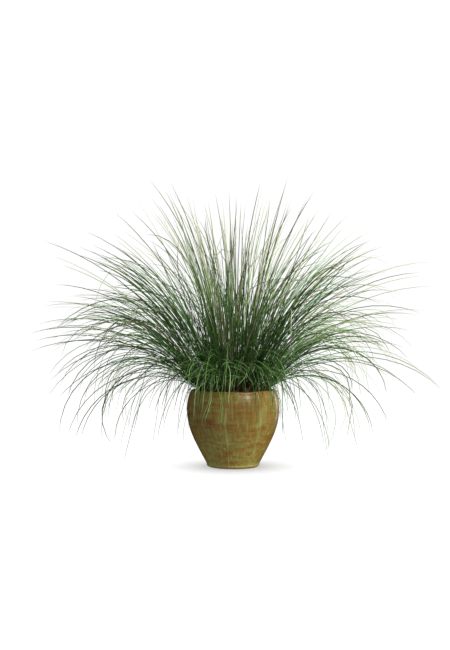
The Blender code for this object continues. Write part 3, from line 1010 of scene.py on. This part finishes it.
def make_grass():
    """Every tuft of blades, in place of its solid."""
    blade = blade_material()
    for tuft in tuft_plan():
        chance = random.Random(1000 + tuft.number)
        shade = chance.random()
        fullness = chance.uniform(*FULLNESS)
        fullness *= 1 - FULLER_LEFT[tuft.ring] * math.cos(tuft.heading)
        leaders = leading_blades(tuft, shade)
        blades = leaders + drooping_blades(tuft, chance)
        kinds = [LONG, LOOSE, SHORT, ARCHING] + [PALE] * (math.sin(tuft.heading) > PALE_ABOVE)
        facing = abs(math.sin(tuft.heading)) ** 2
        for kind in kinds:
            kept = KEPT_BESIDE[tuft.ring] if kind is SHORT else 1.0
            share = fullness * (kept + (1 - kept) * facing)
            if kind is ARCHING:
                share *= 1 - facing
            elif hangs(tuft):
                share *= KEPT_HANGING
            if kind in (LONG, LOOSE):
                share *= 1 - LACKED_FACING * facing
            blades += following_blades(kind, leaders, tuft, shade, share, chance)
        name = f"grass_tuft_{tuft.number:02d}"
        mesh = blade_mesh(name, tuft, blades)
        finish_piece(name, mesh, [blade], [f"leaf_tuft_{tuft.number:02d}"])


def blade_material():
    """Living grass: narrow rolled blades, waxy and half matt, finely ribbed along their length.

    Each is deep green below, darker still near its root as painted shade of the crowded core,
    and dries to a grey straw at its tip. Some are dark and some light, a few have withered to
    brown, and a few have a pale blue-green wax bloom.
    """
    material, tree = start_material(
        "living grass blade", Roughness=0.5, IOR=1.42, Specular_IOR_Level=0.25
    )
    titles = ("along", "side", "tone", "age", "bloom")
    along, side, tone, age, bloom = [painted(tree, title) for title in titles]
    # Both ramps darken towards the root: partly the blades' own deeper green, partly painted shade
    # of the crowded core
    deep = (
        (0.0, "#1d2410"), (1.0, "#64624f"), (0.08, "#0e1e05"),
        (0.4, "#1a380d"), (0.7, "#2c4816"), (0.88, "#474f2e"),
    )
    light = (
        (0.0, "#4c5a2c"), (1.0, "#a6a897"), (0.08, "#3b6a26"),
        (0.28, "#578344"), (0.5, "#87a672"), (0.75, "#a4b396"),
    )
    colour = laid(tree, tone, ramp(tree, along, deep), ramp(tree, along, light))
    straw = laid(tree, tone, linear("#544a40"), linear("#b5ad9d"))
    colour = laid(tree, age, colour, straw)
    colour = laid(tree, bloom, colour, linear("#9bbdaa"))

    # Five ribs across a blade. Real ones are 0.1 mm apart, and are drawn four times as coarse
    ribs = add(tree, "Math", {0: side, 1: 5 * math.tau}, operation="MULTIPLY").outputs[0]
    ribs = add(tree, "Math", {0: ribs}, operation="SINE").outputs[0]
    dress(tree, colour, ribs, 0.4, 0.1 * MM)
    return material


# Studio


def make_table():
    """A plain white table, lit from below and kept out of the glaze's reflections."""
    floor = bmesh.new()
    bmesh.ops.create_grid(floor, x_segments=1, y_segments=1, size=3.0)
    mesh = bpy.data.meshes.new("studio_table")
    floor.to_mesh(mesh)
    floor.free()
    table = start_material(
        "opal glass table lit from below",
        Base_Color=linear("#717171"),
        Roughness=0.9,
        Emission_Color=linear("#ffffff"),
        Emission_Strength=TABLE_GLOW,
    )[0]
    mesh.materials.append(table)
    ground = place_object("studio_table", mesh)
    ground.visible_glossy = False
    return ground


def soft_light(name, place, target, size, power, colour):
    """A square area light that points at a target."""
    lamp = bpy.data.lights.new(name, "AREA")
    lamp.size = size
    lamp.energy = power
    lamp.color = linear(colour)[:3]
    light = place_object(name, lamp)
    light.location = place
    aim = Vector(target) - Vector(place)
    light.rotation_euler = aim.to_track_quat("-Z", "Y").to_euler()
    return light


def alone(name, piece):
    """A collection of one piece, for a light to fall on or be blocked by."""
    group = bpy.data.collections.new(name)
    group.objects.link(piece)
    return group


def make_surroundings():
    """A white room all round. It is kept out of the glaze's reflections, which it would veil."""
    world = bpy.data.worlds.new("white studio")
    world.use_nodes = True
    background = world.node_tree.nodes["Background"]
    background.inputs["Color"].default_value = linear("#ffffff")
    background.inputs["Strength"].default_value = ROOM_STRENGTH
    world.cycles_visibility.glossy = False
    bpy.context.scene.world = world
    bpy.context.scene.view_settings.view_transform = "Standard"


def make_lights(ground):
    """A softbox to the right, a top light, a strip for the pot's edge, and the table's own light.

    The softbox misses the table, so that this stays evenly white. The table's own light falls
    on it alone, and only the pot shades it, softly about its foot.
    """
    flags = alone("kept dark by flags", ground)
    flags.collection_objects[0].light_linking.link_state = "EXCLUDE"
    softbox = soft_light("softbox", (1.33, -1.45, 1.62), (0.03, -0.1, 0.19), 0.8, 110.0, "#ffeedd")
    softbox.light_linking.receiver_collection = flags
    soft_light("top light", (0.0, 0.1, 2.5), (0.0, 0.0, 0.2), 1.8, 14.0, "#ffffff")

    glazed = alone("pot alone", bpy.data.objects["glazed_pot"])
    strip = soft_light("edge light", (2.6, 3.1, 0.5), (0.1, 0.0, 0.15), 0.5, 30.0, "#fff4e6")
    strip.data.shape = "RECTANGLE"
    strip.data.size_y = 2.4
    strip.light_linking.receiver_collection = glazed

    sky = bpy.data.lights.new("table light", "SUN")
    sky.energy = TABLE_LIGHT
    sky.angle = math.radians(60.0)
    table_light = place_object("table light", sky)
    table_light.light_linking.receiver_collection = alone("table alone", ground)
    table_light.light_linking.blocker_collection = glazed


def place_camera():
    """A level camera 2.8 m in front of the pot's axis, a little left of it, at mid height."""
    camera = bpy.data.cameras.new("camera")
    camera.sensor_width = 36.0
    camera.lens = CAMERA_LENS
    viewer = place_object("camera", camera)
    viewer.location = CAMERA_PLACE
    viewer.rotation_euler = (math.radians(90.0), 0.0, 0.0)
    bpy.context.scene.camera = viewer


make_pot()
make_soil()
make_crumbs()
make_crown()
make_grass()
table = make_table()
make_surroundings()
make_lights(table)
place_camera()
